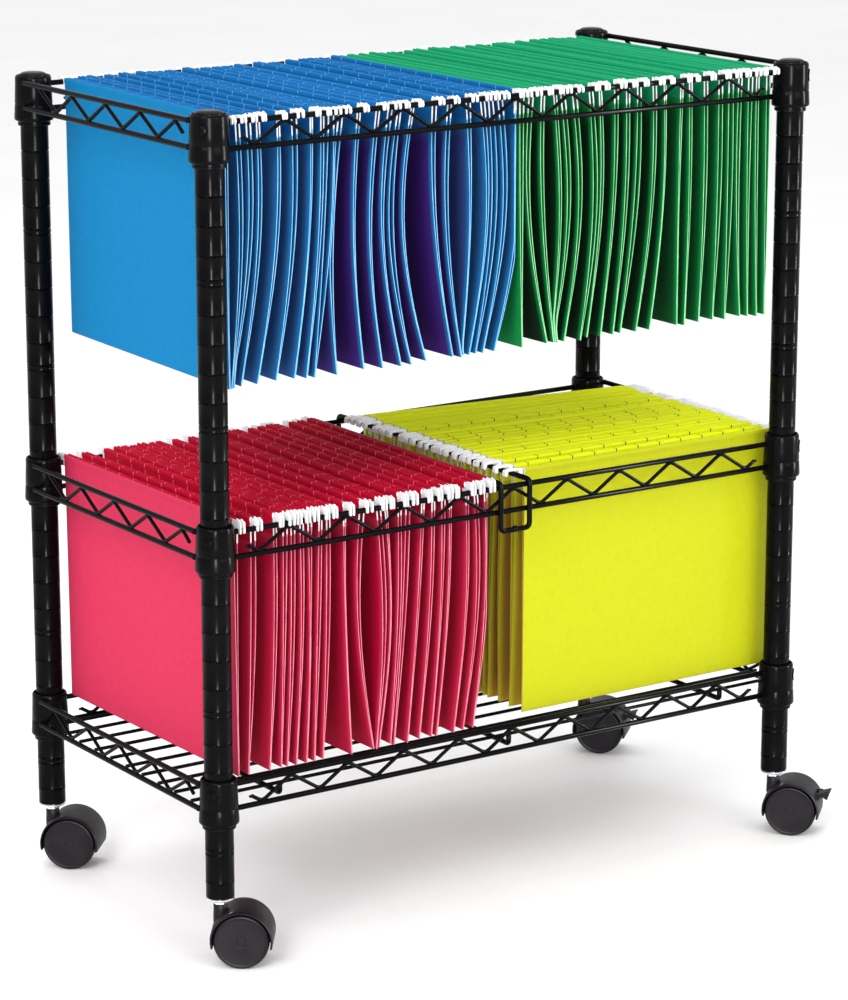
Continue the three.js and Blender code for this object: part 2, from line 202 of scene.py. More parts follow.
def rounded_path(corners, radius, steps=5, closed=False):
    """The corner points with each bend replaced by an arc-like curve of about that radius."""
    points = [Vector(c) for c in corners]
    count = len(points)
    path = []
    for index in range(count):
        here = points[index]
        if not closed and index in (0, count - 1):
            path.append(here)
            continue
        before = points[index - 1] - here
        after = points[(index + 1) % count] - here
        half_angle = before.angle(after) / 2
        cut = radius / math.tan(half_angle)
        cut = min(cut, 0.48 * before.length, 0.48 * after.length)
        start = here + before.normalized() * cut
        end = here + after.normalized() * cut
        for step in range(steps + 1):
            t = step / steps
            path.append((1 - t) ** 2 * start + 2 * t * (1 - t) * here + t * t * end)
    return path


def tube(path, radius, sides=12, closed=False):
    """A round wire along a path, with its ends slightly domed."""
    points = [Vector(p) for p in path]
    count = len(points)
    tangents = []
    for index in range(count):
        if closed:
            tangent = points[(index + 1) % count] - points[index - 1]
        else:
            tangent = points[min(index + 1, count - 1)] - points[max(index - 1, 0)]
        tangents.append(tangent.normalized())
    normal = tangents[0].orthogonal().normalized()
    normals = [normal]
    for index in range(1, count):
        turn = tangents[index - 1].rotation_difference(tangents[index])
        normal = turn @ normal
        normal = (normal - tangents[index] * normal.dot(tangents[index])).normalized()
        normals.append(normal)
    twist = 0.0
    if closed:
        turn = tangents[-1].rotation_difference(tangents[0])
        carried = turn @ normals[-1]
        cross = carried.cross(normals[0])
        twist = math.atan2(cross.dot(tangents[0]), carried.dot(normals[0]))
    rings = []
    for index, (point, tangent, normal) in enumerate(zip(points, tangents, normals)):
        spin = Matrix.Rotation(twist * index / count, 3, tangent)
        rings.append((point, tangent, spin @ normal, radius))
    if not closed:
        for ring, sign, place in ((rings[0], -1, 0), (rings[-1], 1, len(rings) + 1)):
            point, tangent, normal, _ = ring
            tip = point + sign * tangent * radius * 0.3
            rings.insert(place, (tip, tangent, normal, radius * 0.72))
    verts = []
    for point, tangent, normal, ring_radius in rings:
        side_axis = tangent.cross(normal)
        for side in range(sides):
            angle = 2 * math.pi * side / sides
            verts.append(point + ring_radius * (math.cos(angle) * normal + math.sin(angle) * side_axis))
    return verts, barrel_faces(len(rings), sides, closed)


def slab(outline, low, high):
    """A flat outline of (u, v) corners, counterclockwise, between two heights w.
    Its vertices are (u, v, w)."""
    count = len(outline)
    verts = [Vector((u, v, low)) for u, v in outline] + [Vector((u, v, high)) for u, v in outline]
    faces = [tuple(reversed(range(count))), tuple(range(count, 2 * count))]
    for index in range(count):
        beside = (index + 1) % count
        faces.append((index, beside, count + beside, count + index))
    return verts, faces


def upright_slab(outline, low, high):
    """A slab whose outline is (x, z) and which reaches from low to high along Y."""
    verts, faces = slab(outline, low, high)
    return [Vector((v.x, v.z, v.y)) for v in verts], flipped(faces)


# ---------------------------------------------------------------- materials


class Nodes:
    """A short way to write a node material round one Principled shader."""

    def __init__(self, name):
        self.material = bpy.data.materials.new(name)
        self.material.use_nodes = True
        self.tree = self.material.node_tree
        self.shader = self.tree.nodes["Principled BSDF"]
        self.place = self.add("ShaderNodeTexCoord").outputs["Object"]

    def add(self, kind, **values):
        node = self.tree.nodes.new(kind)
        for key, value in values.items():
            setattr(node, key, value)
        return node

    def link(self, output, socket):
        self.tree.links.new(output, socket)

    def set(self, **values):
        for key, value in values.items():
            self.shader.inputs[key.replace("_", " ")].default_value = value

    def noise(self, scale, detail=3.0, roughness=0.5, stretch=None):
        node = self.add("ShaderNodeTexNoise")
        node.inputs["Scale"].default_value = scale
        node.inputs["Detail"].default_value = detail
        node.inputs["Roughness"].default_value = roughness
        source = self.place
        if stretch:
            mapping = self.add("ShaderNodeMapping")
            mapping.inputs["Scale"].default_value = stretch
            self.link(source, mapping.inputs["Vector"])
            source = mapping.outputs["Vector"]
        self.link(source, node.inputs["Vector"])
        return node.outputs["Fac"]

    def spread(self, value, low, high, start=0.3, end=0.7):
        node = self.add("ShaderNodeMapRange")
        node.inputs["From Min"].default_value = start
        node.inputs["From Max"].default_value = end
        node.inputs["To Min"].default_value = low
        node.inputs["To Max"].default_value = high
        self.link(value, node.inputs["Value"])
        return node.outputs["Result"]

    def mix(self, factor, first, second):
        node = self.add("ShaderNodeMix", data_type="RGBA")
        self.link(factor, node.inputs["Factor"])
        for socket, value in (("A", first), ("B", second)):
            target = [s for s in node.inputs if s.name == socket and s.type == "RGBA"][0]
            if isinstance(value, tuple):
                target.default_value = (*value, 1)
            else:
                self.link(value, target)
        return [s for s in node.outputs if s.type == "RGBA"][0]

    def bump(self, height, strength, distance):
        node = self.add("ShaderNodeBump")
        node.inputs["Strength"].default_value = strength
        node.inputs["Distance"].default_value = distance
        self.link(height, node.inputs["Height"])
        self.link(node.outputs["Normal"], self.shader.inputs["Normal"])

    def colour(self, output):
        self.link(output, self.shader.inputs["Base Color"])

    def roughness(self, output):
        self.link(output, self.shader.inputs["Roughness"])


def powder_coat():
    m = Nodes("powder_coat_black")
    fleck = m.noise(900, 2)
    drift = m.noise(14, 4)
    m.colour(m.mix(m.spread(drift, 0, 1), (0.0016, 0.0016, 0.002), (0.003, 0.003, 0.0036)))
    m.roughness(m.spread(drift, 0.17, 0.24))
    m.set(Specular_IOR_Level=0.045)
    m.bump(fleck, 0.12, 0.0002)
    return m.material


def caster_plastic():
    m = Nodes("caster_nylon_black")
    fleck = m.noise(1400, 3)
    drift = m.noise(60, 5)
    m.colour(m.mix(m.spread(drift, 0, 1), (0.005, 0.0032, 0.0056), (0.0095, 0.0066, 0.0105)))
    m.roughness(m.spread(drift, 0.4, 0.52))
    m.set(Specular_IOR_Level=0.16)
    m.bump(fleck, 0.2, 0.0002)
    return m.material


def sleeve_plastic():
    m = Nodes("sleeve_plastic_black")
    drift = m.noise(80, 4)
    m.colour(m.mix(m.spread(drift, 0, 1), (0.002, 0.002, 0.0024), (0.004, 0.004, 0.0045)))
    m.roughness(m.spread(drift, 0.2, 0.28))
    m.set(Specular_IOR_Level=0.06)
    m.bump(m.noise(700, 2), 0.1, 0.0002)
    return m.material


def plated_steel():
    m = Nodes("zinc_plated_steel")
    drift = m.noise(260, 4)
    m.colour(m.mix(m.spread(drift, 0, 1), (0.62, 0.63, 0.66), (0.86, 0.87, 0.9)))
    m.roughness(m.spread(drift, 0.16, 0.34))
    m.set(Metallic=1.0)
    m.bump(m.noise(900, 2, stretch=(1, 1, 12)), 0.08, 0.0002)
    return m.material


def hook_coating():
    m = Nodes("hook_white_coating")
    drift = m.noise(300, 3)
    m.colour(m.mix(m.spread(drift, 0, 1), (0.8, 0.8, 0.82), (0.93, 0.93, 0.95)))
    m.roughness(m.spread(drift, 0.35, 0.5))
    m.bump(m.noise(1200, 2), 0.08, 0.0001)
    return m.material


def card(name, face, band, inside_shade, fibre=0.025):
    """Coloured folder card: paper fibres, a slightly different top band, its colour partly the doubled
    card and partly painted light and shade on the tops, and painted shade far inside the pack, each
    mixed in from a point attribute of the mesh."""
    m = Nodes(name)
    fibres = m.noise(900, 4, 0.6, stretch=(1, 1, 0.35))
    mottle = m.noise(160, 5, 0.65)
    light = tuple(min(1, c * (1 + fibre) + 0.004) for c in face)
    dark = tuple(c * (1 - 1.6 * fibre) for c in face)
    base = m.mix(m.spread(mottle, 0, 1), dark, light)
    band_mark = m.add("ShaderNodeAttribute", attribute_name="Band").outputs["Fac"]
    inside_shade_mark = m.add("ShaderNodeAttribute", attribute_name="Depth").outputs["Fac"]
    # band colour: partly the doubled card's own tone, partly painted light and shade on the tops
    base = m.mix(band_mark, base, band)
    # painted shade in the gaps far inside the pack
    base = m.mix(inside_shade_mark, base, inside_shade)
    m.colour(base)
    m.roughness(m.spread(fibres, 0.62, 0.8))
    m.set(Specular_IOR_Level=0.08)
    m.bump(fibres, 0.16, 0.0003)
    return m.material


def card_edge(name, light, dark):
    """Cut edge of the card: pale fibres with streaks along its length."""
    m = Nodes(name)
    streak = m.noise(420, 4, 0.7, stretch=(1, 1, 0.08))
    m.colour(m.mix(m.spread(streak, 0, 1), dark, light))
    m.roughness(m.spread(streak, 0.7, 0.9))
    m.bump(streak, 0.25, 0.0003)
    return m.material


# marks for the open tab slits; in the yellow and green packs their dark colour is painted shade
def slit_shadow(name, colour):
    m = Nodes(name)
    drift = m.noise(500, 2)
    m.colour(m.mix(m.spread(drift, 0, 1), colour, tuple(1.35 * c for c in colour)))
    m.roughness(m.spread(drift, 0.7, 0.85))
    return m.material


def floor_paint():
    m = Nodes("floor_pale")
    drift = m.noise(3, 3)
    m.colour(m.mix(m.spread(drift, 0, 1), (0.9, 0.9, 0.905), (0.93, 0.93, 0.935)))
    m.roughness(m.spread(drift, 0.55, 0.65))
    return m.material


COAT = powder_coat()
NYLON = caster_plastic()
SLEEVE = sleeve_plastic()
STEEL = plated_steel()
HOOK = hook_coating()

# ---------------------------------------------------------------- posts, caps, sleeves, collars


def groove_heights():
    """Heights of the groove rings on a post, with a second ring above every fifth."""
    first = RIM["top"] + RIM_TO_GROOVE
    lowest = POST_LOW + 4 * MM
    highest = POST_HIGH - 3 * MM
    heights = []
    for step in range(int((first - lowest) / GROOVE_PITCH) + 1):
        ring = first - step * GROOVE_PITCH
        rings = [ring, ring + SECOND_RING] if step % 5 == 1 else [ring]
        heights += [z for z in rings if z < highest]
    return sorted(heights)


def post_profile():
    depth = 0.75 * MM
    half_width = 0.95 * MM
    profile = [(POST_RADIUS - 0.6 * MM, POST_LOW), (POST_RADIUS, POST_LOW + 0.6 * MM)]
    for z in groove_heights():
        profile += [
            (POST_RADIUS, z - half_width - 0.5 * MM),
            (POST_RADIUS + 0.16 * MM, z - half_width),
            (POST_RADIUS - 0.8 * depth, z - 0.4 * half_width),
            (POST_RADIUS - depth, z),
            (POST_RADIUS - 0.8 * depth, z + 0.4 * half_width),
            (POST_RADIUS + 0.16 * MM, z + half_width),
            (POST_RADIUS, z + half_width + 0.5 * MM),
        ]
    profile += [(POST_RADIUS, POST_HIGH - 0.6 * MM), (POST_RADIUS - 0.6 * MM, POST_HIGH)]
    return profile


def add_on_posts(solid, kind, look, material, sharp):
    """The same round solid on every post, standing for the CAD nodes called after its kind."""
    verts, faces = solid
    for corner, place in POSTS.items():
        shape = Shape()
        shape.add(shifted(verts, (place.x, place.y, 0)), faces)
        piece = shape.build(look.format(corner), [material], sharp)
        finish_piece(piece, "frame", f"{kind}_{corner}")


def make_posts():
    solid = turned(post_profile(), 56)
    add_on_posts(solid, "post", "post_{}_grooved", COAT, 40)


def make_caps():
    """Domed caps with a thin brim on the post and a plug inside it."""
    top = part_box("post_cap_front_left")[1].z
    seat = POST_HIGH + CAD_GAP
    plug = ((10, -8), (11.2, -7), (11.2, 0))
    brim = ((12.3, 0), (12.75, 0.3), (12.75, 1.1), (12.4, 1.7), (11.2, 2.4))
    dome = ((9.4, -0.5), (7.2, -0.15), (5.6, 0), (2, 0))
    profile = corners_in_mm((seat, plug + brim), (top, dome))
    add_on_posts(turned(profile, 48), "post_cap", "cap_{}_domed", SLEEVE, 50)


def make_sleeves():
    """Tapered clip sleeves: each shows a small stepped lip under its collar."""
    for level in LEVELS:
        rim = RIM[level]
        lip = ((13.0, -4.6), (14.3, -4.6), (14.9, -4.1), (15.0, -2.2), (14.6, -1.9), (14.6, 2))
        upper_end = ((14.1, -2), (13.0, -1.6))
        profile = corners_in_mm((rim - COLLAR_HEIGHT, lip), (rim, upper_end))
        kind = f"sleeve_{level}"
        solid = turned(profile, 48, closed=True)
        add_on_posts(solid, kind, kind + "_{}_lip", SLEEVE, 40)


def collar(rim):
    """Flared collar with a rolled rim, a seam two thirds down and a stepped skirt."""
    skirt = ((15.3, 0.3), (16.6, 0), (17.4, 0.5), (17.9, 1.4), (17.9, 4), (17.6, 8))
    seam = ((17.3, -1.0), (16.95, -0.3), (16.95, 0.3), (17.25, 1.0))
    flank = ((16.9, -16), (16.55, -7), (16.5, -2.4))
    rolled_rim = ((16.1, -0.9), (15.4, -0.1), (14.9, 0), (14.55, -0.5), (14.5, -4))
    profile = corners_in_mm(
        (rim - COLLAR_HEIGHT, skirt),
        (rim - COLLAR_SEAM_DROP, seam),
        (rim, flank + rolled_rim),
    )
    return turned(profile, 56, closed=True)


def plain_boss(angle, z, radius):
    """A plain round boss with a raised ring, bent round the collar's face."""
    rings = ((0, 0.45), (0.5, 0.4), (0.6, 0.1), (0.7, 0.1), (0.8, 0.85), (0.92, 0.85), (1.0, -0.15))
    sides = 28
    verts = []
    for share, height in rings:
        for side in range(sides):
            turn = 2 * math.pi * side / sides
            across = share * COLLAR_BOSS_RADIUS * math.cos(turn)
            up = share * COLLAR_BOSS_RADIUS * math.sin(turn)
            around = angle + across / radius
            reach = radius + height * MM
            verts.append(Vector((reach * math.cos(around), reach * math.sin(around), z + up)))
    faces = grid_faces(len(rings), sides, wrap_columns=True)
    return verts, flipped(faces)


# ---------------------------------------------------------------- wire frames


def weld(point, radius):
    """A small flattened bead of weld metal."""
    bead = [(0.35, -0.9), (0.8, -0.6), (1.0, 0), (0.8, 0.6), (0.35, 0.9)]
    verts, faces = turned([(r * radius, z * radius) for r, z in bead], 12)
    return shifted(verts, point), faces


def zigzag_corners(count, low_ends, middle, reach):
    """Corners (along, z) of a zigzag of `count` legs that starts and ends low or high."""
    corners = []
    for index in range(count + 1):
        along = (index - count / 2) * ZIGZAG_HALF_PITCH
        low = (index % 2 == 0) == low_ends
        corners.append((along, middle + (-reach if low else reach)))
    return corners


def add_truss(shape, place, end, top_wire, web):
    """Top wire, lower wire, rounded zigzag and its welds. `place` turns (along, z) into a point."""
    lower_wire = top_wire - RAIL_SPACING
    for z in (top_wire, lower_wire):
        shape.add(*tube([place(-end, z), place(end, z)], RAIL_RADIUS, 14))
    path = rounded_path([place(along, z) for along, z in web], 7.5 * MM, 6)
    shape.add(*tube(path, ZIGZAG_RADIUS, 10))
    for along, z in web:
        high = z > top_wire - RAIL_SPACING / 2
        touch = z + (0.2 if high else -0.2) * MM
        if abs(along) < end - 12 * MM:
            for side in (-1, 1):
                shape.add(*weld(place(along + side * 1.6 * MM, touch), 1.35 * MM))


def make_long_trusses():
    centre = POST_CENTRE.x
    for level in LEVELS:
        top_wire = RIM[level] - FRONT_RAIL_DROP
        middle = top_wire - RAIL_SPACING / 2
        # a bend rounded off by the wire's own curve stays a little short of its corner
        web = zigzag_corners(18, True, middle, WEB_REACH + 1.6 * MM)
        first, last = web[0], web[-1]
        stub = (11 * MM, 6.5 * MM)
        web = [
            (first[0] - stub[0], first[1] + stub[1]),
            *web,
            (last[0] + stub[0], last[1] + stub[1]),
        ]
        for side in ("front", "back"):
            y = middle_of(f"{side}_truss_{level}").y
            end = abs(POSTS["front_right"].x - centre) - 16.2 * MM
            shape = Shape()
            add_truss(shape, lambda a, z: Vector((centre + a, y, z)), end, top_wire, web)
            for sign in (-1, 1):
                for z in (top_wire, top_wire - RAIL_SPACING):
                    shape.add(*weld((centre + sign * (end + 0.2 * MM), y, z), 3.1 * MM))
            truss = shape.build(f"{side}_truss_{level}_wires", [COAT], 45)
            finish_piece(truss, "frame", f"{side}_truss_{level}")


def make_side_frames():
    centre = POST_CENTRE.y
    spacing = abs(POSTS["back_left"].y - centre)
    boss_angle = {"left": math.radians(-144), "right": math.radians(-36)}
    for level in LEVELS:
        rim = RIM[level]
        top_wire = rim - SIDE_RAIL_DROP
        middle = top_wire - RAIL_SPACING / 2
        web = zigzag_corners(8, False, middle, WEB_REACH + 0.8 * MM)
        first = web[0]
        web = [(first[0] - 11.5 * MM, first[1] - 9 * MM), *web]
        web = [(along + SIDE_ZIGZAG_SHIFT, z) for along, z in web]
        for side, sign in (("left", -1), ("right", 1)):
            post_x = POSTS[f"front_{side}"].x
            x = post_x + sign * SIDE_RAIL_OFFSET
            end = spacing - SIDE_RAIL_SHORT
            shape = Shape()
            add_truss(shape, lambda a, z: Vector((x, centre + a, z)), end, top_wire, web)
            for depth in (-1, 1):
                post_y = centre + depth * spacing
                verts, faces = collar(rim)
                shape.add(shifted(verts, (post_x, post_y, 0)), faces)
                weld_y = post_y - depth * (SIDE_RAIL_SHORT - 0.2 * MM)
                for z in (top_wire, top_wire - RAIL_SPACING):
                    shape.add(*weld((x, weld_y, z), 2.9 * MM))
                if depth < 0:
                    verts, faces = plain_boss(boss_angle[side], rim - 12.5 * MM, 16.75 * MM)
                    shape.add(shifted(verts, (post_x, post_y, 0)), faces)
            side_frame = shape.build(f"{side}_frame_{level}_welded", [COAT], 40)
            finish_piece(side_frame, "frame", f"{side}_frame_{level}")


def make_shelf_grid():
    """Long wires over three ribs with upturned ends, welded at every crossing."""
    low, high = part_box("shelf_grid")
    reach = (high.x - low.x) / 2
    side_wire_top = RIM["bottom"] - SIDE_RAIL_DROP - RAIL_SPACING + RAIL_RADIUS
    wire_z = side_wire_top + CAD_GAP + GRID_WIRE_RADIUS
    rib_z = wire_z - GRID_WIRE_RADIUS - RAIL_RADIUS + 0.5 * MM
    wire_places = []
    for index in range(GRID_WIRES):
        across = (index - (GRID_WIRES - 1) / 2) * GRID_WIRE_SPACING
        wire_places.append(POST_CENTRE.y + across + SIDE_ZIGZAG_SHIFT)
    shape = Shape()
    for y in wire_places:
        line = [(POST_CENTRE.x - reach, y, wire_z), (POST_CENTRE.x + reach, y, wire_z)]
        shape.add(*tube(line, GRID_WIRE_RADIUS, 10))
    rib_end = abs(POSTS["front_left"].y - POST_CENTRE.y) - 2 * RAIL_RADIUS - CAD_GAP
    front, back = POST_CENTRE.y - rib_end, POST_CENTRE.y + rib_end
    for index in (-1, 0, 1):
        x = POST_CENTRE.x + index * GRID_RIB_SPACING
        corners = [
            (x, front, rib_z + GRID_RIB_UPTURN),
            (x, front, rib_z),
            (x, back, rib_z),
            (x, back, rib_z + GRID_RIB_UPTURN),
        ]
        shape.add(*tube(rounded_path(corners, 3.5 * MM), RAIL_RADIUS, 12))
        for y in wire_places:
            shape.add(*weld((x, y, wire_z - 1.4 * MM), 2.3 * MM))
    grid = shape.build("shelf_grid_wires", [COAT], 45)
    finish_piece(grid, "frame", "shelf_grid")


def make_divider():
    """One closed wire loop over the rails, with its two ends welded at the bottom."""
    low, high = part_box("divider")
    to_middle = Vector((RAIL_RADIUS, RAIL_RADIUS, RAIL_RADIUS))
    left, front, bottom = low + to_middle
    right, back, top = high - to_middle
    corners = [
        (left, front, bottom),
        (left, front, top),
        (left, back, top),
        (left, back, bottom),
        (right, back, bottom),
        (right, back, top),
        (right, front, top),
        (right, front, bottom),
    ]
    shape = Shape()
    path = rounded_path(corners, 5.2 * MM, 6, closed=True)
    shape.add(*tube(path, RAIL_RADIUS, 14, closed=True))
    for y in (front, back):
        shape.add(*weld(((left + right) / 2, y, bottom + 0.6 * MM), 3.2 * MM))
    divider = shape.build("divider_wire_loop", [COAT], 45)
    finish_piece(divider, "divider", "divider")


# ---------------------------------------------------------------- casters


def caster_frame(corner):
    """Matrix from a caster's own frame (trail +X, axle +Y, floor at 0) to the model."""
    post = POSTS[corner]
    spin = Vector(JOINTS[f"spin_near_{corner}"]["pos_m"])
    trail = Vector((spin.x - post.x, spin.y - post.y, 0)).normalized()
    axle = Vector((-trail.y, trail.x, 0))
    turn = Matrix((trail, axle, Vector((0, 0, 1)))).transposed().to_4x4()
    return Matrix.Translation((post.x, post.y, 0)) @ turn


def around_axle(radius, angle):
    """(x, z) of a point round the axle, in the caster's own frame."""
    return CASTER_TRAIL + radius * math.cos(angle), WHEEL_RADIUS + radius * math.sin(angle)


def around_point(middle, radius, degrees):
    angle = math.radians(degrees)
    return middle[0] + radius * math.cos(angle), middle[1] + radius * math.sin(angle)


def hood_angle(share):
    """Angle from one end of the hood (0) over its top to the other end (1)."""
    return -HOOD_END + (math.pi + 2 * HOOD_END) * share


def hood_shape():
    """Curved cover over both discs, with thick crowned rims."""
    rim = [
        (HOOD_INNER, HOOD_HALF_WIDTH - 0.7 * MM),
        (HOOD_INNER + 0.5 * MM, HOOD_HALF_WIDTH),
        (HOOD_OUTER - 0.9 * MM, HOOD_HALF_WIDTH),
        (HOOD_OUTER - 0.25 * MM, HOOD_HALF_WIDTH - 0.8 * MM),
        (HOOD_OUTER, HOOD_HALF_WIDTH - 3 * MM),
    ]
    section = [(radius, -across) for radius, across in rim] + rim[::-1]
    section += [(HOOD_INNER, 2.6 * MM), (HOOD_INNER, -2.6 * MM)]
    steps = 40
    verts = []
    for step in range(steps + 1):
        angle = hood_angle(step / steps)
        for radius, across in section:
            x, z = around_axle(radius, angle)
            verts.append(Vector((x, across, z)))
    count = len(section)
    faces = grid_faces(steps + 1, count, wrap_columns=True)
    faces.append(tuple(range(count)))
    faces.append(tuple(reversed(range(steps * count, (steps + 1) * count))))
    return verts, flipped(faces)


def web_shape():
    """Plate between the discs that carries the axle."""
    steps = 28
    radius = HOOD_INNER + 0.2 * MM
    outline = [around_axle(radius, hood_angle(step / steps)) for step in range(steps + 1)]
    return upright_slab(outline, -2.5 * MM, 2.5 * MM)


def neck_shape():
    """Round neck over the hood that takes the stem."""
    rows = ((6.6, 38), (6.6, 44), (6.3, 49), (6.3, 53.6), (5.9, 54.3), (3.4, 54.5))
    return turned(corners_in_mm((0, rows)), 32)


def lug_shape(side):
    """Ear on the hood that holds one pin of the brake lever."""
    pin = around_axle(LEVER_REACH, LEVER_ANGLE)
    start = math.degrees(LEVER_ANGLE) - 90
    steps = 12
    outline = [around_point(pin, 2.6 * MM, start + 180 * step / steps) for step in range(steps + 1)]
    for turn in (0.15, -0.15):
        outline.append(around_axle(HOOD_OUTER - MM, LEVER_ANGLE + turn))
    near = LEVER_HALF_WIDTH + CAD_GAP
    ends = (side * near, side * (near + 2 * MM))
    return upright_slab(outline, min(ends), max(ends))


def lever_shape():
    """Brake pedal: knuckle, waisted blade and a flared toe with three grip ribs."""
    x, z = around_axle(LEVER_REACH, LEVER_ANGLE)
    steps = 8
    knuckle = [around_point((x, z), 2.2 * MM, 100 + 170 * step / steps) for step in range(steps + 1)]
    underside = ((3.2, -2.2), (6.2, -4.0), (7.6, -4.3), (8.2, -2.8), (8.3, -0.6), (9.2, 1.8))
    upper_side = ((10.6, 4.0), (9.8, 4.5), (6.4, 3.3), (3.0, 2.5))
    blade = [(x + across * MM, z + up * MM) for across, up in underside + upper_side]
    parts = [upright_slab(knuckle + blade, -LEVER_HALF_WIDTH, LEVER_HALF_WIDTH)]
    rods = [(across, up, 5.2, 0.45, 8) for across, up in ((5.0, 3.0), (7.0, 3.6), (9.0, 4.25))]
    rods.append((0, 0, 8.0, 1.0, 12))  # the pin
    for across, up, reach, radius, sides in rods:
        ends = [(x + across * MM, sign * reach * MM, z + up * MM) for sign in (-1, 1)]
        parts.append(tube(ends, radius * MM, sides))
    return parts


def wheel_shape(side):
    """One disc: soft shoulders, a shallow dished face with a fine ring and a moulded centre."""
    inner, outer = WHEEL_INNER_FACE, WHEEL_OUTER_FACE
    r = WHEEL_RADIUS
    profile = [
        (3.0 * MM, inner + 1 * MM),
        (9 * MM, inner + 1 * MM),
        (10 * MM, inner),
        (r - 1.6 * MM, inner),
        (r - 0.4 * MM, inner + 0.6 * MM),
        (r, inner + 1.8 * MM),
        (r, outer - 3.2 * MM),
        (r - 0.35 * MM, outer - 1.5 * MM),
        (r - 1.1 * MM, outer - 0.45 * MM),
        (r - 2.1 * MM, outer),
        (r - 3.0 * MM, outer - 0.1 * MM),
        (r - 3.4 * MM, outer - 0.35 * MM),
        (r - 3.9 * MM, outer - 0.4 * MM),
        (0.5 * r, outer - 0.25 * MM),
        (4.6 * MM, outer - 0.2 * MM),
        (4.2 * MM, outer - 0.45 * MM),
        (3.6 * MM, outer - 0.45 * MM),
        (3.2 * MM, outer - 0.2 * MM),
        (1 * MM, outer - 0.15 * MM),
    ]
    verts, faces = turned(profile, 64)
    verts = [Vector((v.x, side * v.z, -side * v.y)) for v in verts]
    return shifted(verts, (CASTER_TRAIL, 0, WHEEL_RADIUS)), faces


def stem_shapes():
    """Plated socket flange, nut and pin under the post."""
    flange_top = POST_LOW - CAD_GAP
    disc = ((6.2, -3), (9.5, -2.9), (12.2, -2.0), (12.85, -1.2), (12.85, -0.5), (12.3, 0))
    socket = ((11.2, 0), (11.2, 14))
    flange = corners_in_mm((flange_top, disc + socket))
    nut_low = 54.8 * MM
    nut = corners_in_mm((nut_low, ((5.9, 0), (7.0, 0.5))), (flange_top, ((7.0, -2.6),)))
    pin = corners_in_mm((0, ((2.6, 48), (3.0, 48.6))), (nut_low, ((3.0, 1),)))
    return [turned(flange, 40), turned(nut, 6), turned(pin, 20)]


def make_casters():
    for corner in CORNERS:
        place = caster_frame(corner)
        braked = f"brake_{corner}" in JOINTS
        hood = Shape()
        hood.add(*hood_shape())
        hood.add(*web_shape())
        hood.add(*neck_shape())
        if braked:
            for side in (-1, 1):
                hood.add(*lug_shape(side))
        hood.verts = moved(hood.verts, place)
        piece = hood.build(f"hood_{corner}_moulded", [NYLON], 38)
        finish_piece(piece, f"caster_{corner}", f"caster_hood_{corner}")

        for name, side in (("near", -1), ("far", 1)):
            wheel = Shape()
            verts, faces = wheel_shape(side)
            wheel.add(moved(verts, place), faces)
            piece = wheel.build(f"wheel_{name}_{corner}_disc", [NYLON], 30)
            body = f"wheel_{name}_{corner}"
            finish_piece(piece, body, body)

        stem = Shape()
        for verts, faces in stem_shapes():
            stem.add(moved(verts, place), faces)
        piece = stem.build(f"stem_{corner}_plated", [STEEL], 35)
        finish_piece(piece, "frame", f"caster_stem_{corner}")

        if braked:
            lever = Shape()
            for verts, faces in lever_shape():
                lever.add(moved(verts, place), faces)
            piece = lever.build(f"lever_{corner}_pedal", [NYLON], 35)
            finish_piece(piece, f"brake_{corner}", f"brake_lever_{corner}")

        axle = frame["nodes"][f"caster_axle_{corner}"]
        axle.data.materials.clear()
        axle.data.materials.append(STEEL)


# ---------------------------------------------------------------- folder packs

FOLDERS = 22  # in each pack

